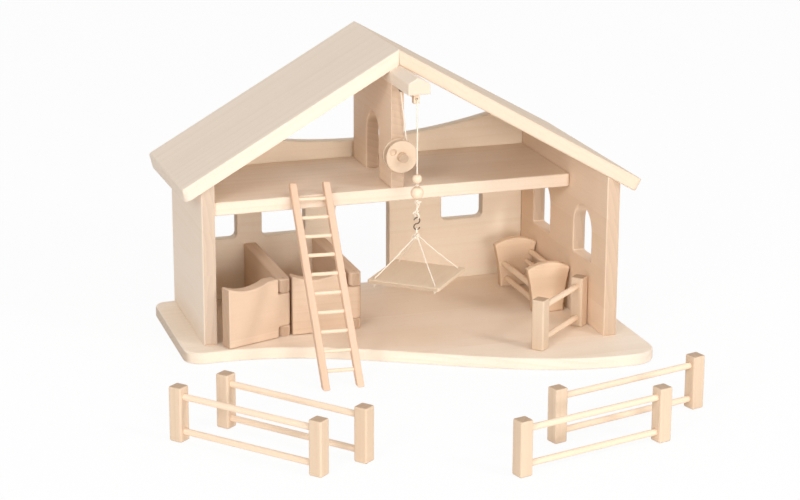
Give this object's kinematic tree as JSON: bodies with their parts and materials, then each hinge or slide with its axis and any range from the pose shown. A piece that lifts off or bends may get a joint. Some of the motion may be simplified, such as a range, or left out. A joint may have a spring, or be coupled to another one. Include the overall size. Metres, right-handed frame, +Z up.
{
  "type": "toy barn",
  "caption": "Open-fronted wooden toy barn with stall doors, loft, string hoist with platform, leaning ladder, manger and post-and-rail fences.",
  "frame": {"origin": "on the ground under the ridge line, in line with the front edge of the left wall, on the underside of the base board", "axes": "+X to the right along the back wall, +Y to the back, +Z up"},
  "size_m": [0.6767, 0.7258, 0.399],
  "materials": {
    "pale_board": "sanded pale beech boards, unvarnished, fine grain",
    "roof_board": "sanded pale beech boards, slightly greyer, fine grain",
    "inner_board": "sanded warm beech boards, fine grain",
    "turned_wood": "smooth turned beech dowels, beads and rails",
    "steel_fitting": "dark plain steel wire and screws",
    "cotton_string": "twisted off-white cotton string"
  },
  "bodies": {
    "house": {"base_board": "pale_board", "base_screws": "steel_fitting", "left_wall": "pale_board", "right_wall": "pale_board", "back_wall": "pale_board", "loft_floor": "pale_board", "loft_divider": "pale_board", "roof_left": "roof_board", "roof_right": "roof_board", "hoist_arm": "pale_board", "string_block": "turned_wood", "string_eye": "steel_fitting", "hoist_string": "cotton_string", "partition_left": "inner_board", "partition_right": "inner_board", "hinge_pin_left": "turned_wood", "hinge_pin_right": "turned_wood"},
    "left_door": {"stall_door_left": "inner_board"},
    "right_door": {"stall_door_right": "inner_board"},
    "drum": {"winch_front_flange": "pale_board", "winch_back_flange": "pale_board", "winch_hub": "turned_wood", "winch_axle": "turned_wood", "string_winding": "cotton_string"},
    "lift": {"drop_string": "cotton_string", "small_bead": "turned_wood", "large_bead": "turned_wood", "bead_cord": "cotton_string", "lift_hook": "steel_fitting", "sling_strings": "cotton_string", "lift_platform": "pale_board"},
    "ladder": {"ladder_left_rail": "turned_wood", "ladder_right_rail": "turned_wood", "ladder_rungs": "turned_wood"},
    "manger": {"manger_front_end": "inner_board", "manger_back_end": "inner_board", "manger_rails": "turned_wood"},
    "inner_fence": {"inner_fence_left_post": "pale_board", "inner_fence_right_post": "pale_board", "inner_fence_rails": "turned_wood"},
    "fence_one": {"fence_one_left_post": "pale_board", "fence_one_right_post": "pale_board", "fence_one_rails": "turned_wood"},
    "fence_two": {"fence_two_left_post": "pale_board", "fence_two_right_post": "pale_board", "fence_two_rails": "turned_wood"},
    "fence_three": {"fence_three_left_post": "pale_board", "fence_three_right_post": "pale_board", "fence_three_rails": "turned_wood"},
    "fence_four": {"fence_four_left_post": "pale_board", "fence_four_right_post": "pale_board", "fence_four_rails": "turned_wood"}
  },
  "joints": [
    {"name": "left_door_hinge", "type": "hinge", "parent": "house", "child": "left_door", "pos_m": [-0.156, 0.014, 0.016], "axis": [0, 0, 1], "range_deg": [-19.5, 70.5]},
    {"name": "right_door_hinge", "type": "hinge", "parent": "house", "child": "right_door", "pos_m": [-0.057, 0.014, 0.016], "axis": [0, 0, 1], "range_deg": [0, 90]},
    {"name": "lift_travel", "type": "slide", "parent": "house", "child": "lift", "axis": [0, 0, 1], "range_m": [-0.086, 0.07], "deforming": ["drop_string"]},
    {"name": "winch_spin", "type": "hinge", "parent": "house", "child": "drum", "pos_m": [0.0015, 0.0047, 0.256], "axis": [0, 1, 0], "range_deg": [-545, 445]},
    {"name": "ladder_lift", "type": "slide", "parent": "house", "child": "ladder", "axis": [0, 0, 1], "range_m": [0, 0.05]},
    {"name": "manger_lift", "type": "slide", "parent": "house", "child": "manger", "axis": [0, 0, 1], "range_m": [0, 0.1]},
    {"name": "inner_fence_lift", "type": "slide", "parent": "house", "child": "inner_fence", "axis": [0, 0, 1], "range_m": [0, 0.1]},
    {"name": "fence_one_lift", "type": "slide", "parent": "house", "child": "fence_one", "axis": [0, 0, 1], "range_m": [0, 0.1]},
    {"name": "fence_two_lift", "type": "slide", "parent": "house", "child": "fence_two", "axis": [0, 0, 1], "range_m": [0, 0.1]},
    {"name": "fence_three_lift", "type": "slide", "parent": "house", "child": "fence_three", "axis": [0, 0, 1], "range_m": [0, 0.1]},
    {"name": "fence_four_lift", "type": "slide", "parent": "house", "child": "fence_four", "axis": [0, 0, 1], "range_m": [0, 0.1]}
  ],
  "couplings": [
    {"joint": "winch_spin", "follows": "lift_travel", "rad_per_m": 109.89}
  ]
}
